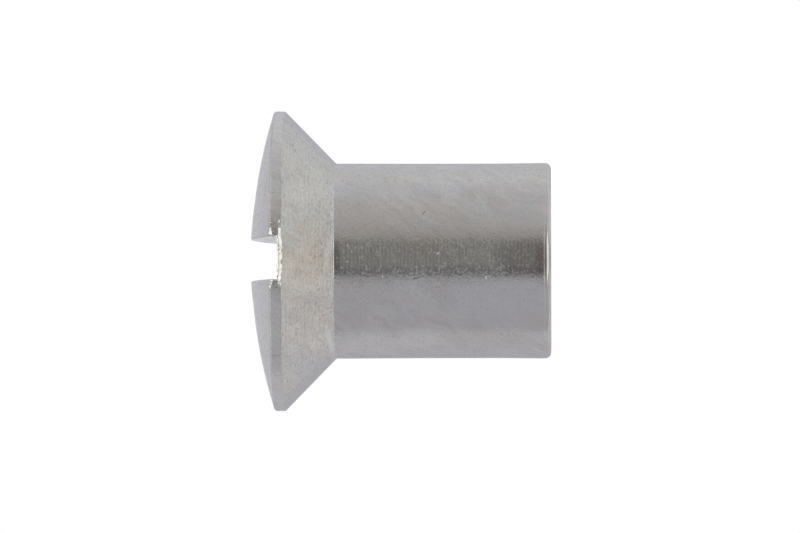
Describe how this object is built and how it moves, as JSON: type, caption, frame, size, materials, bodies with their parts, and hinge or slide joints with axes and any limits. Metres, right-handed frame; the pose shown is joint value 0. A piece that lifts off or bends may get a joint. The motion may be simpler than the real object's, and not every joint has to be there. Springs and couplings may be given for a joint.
{
  "type": "sleeve nut",
  "caption": "Plated tubular nut with a raised countersunk head, a sawn driver slot and a blind tapped bore, for joining panels with a machine screw.",
  "frame": {"origin": "centre of the sleeve's open end face, on the axis of the thread; the nut stands on that face", "axes": "+Z along the thread's axis from the open end towards the crown of the head, Y along the driver slot, X across it"},
  "size_m": [0.01, 0.01, 0.01],
  "materials": {
    "nickel_plate": "satin"
  },
  "bodies": {
    "root": {"sleeve_nut": "nickel_plate"}
  },
  "joints": []
}
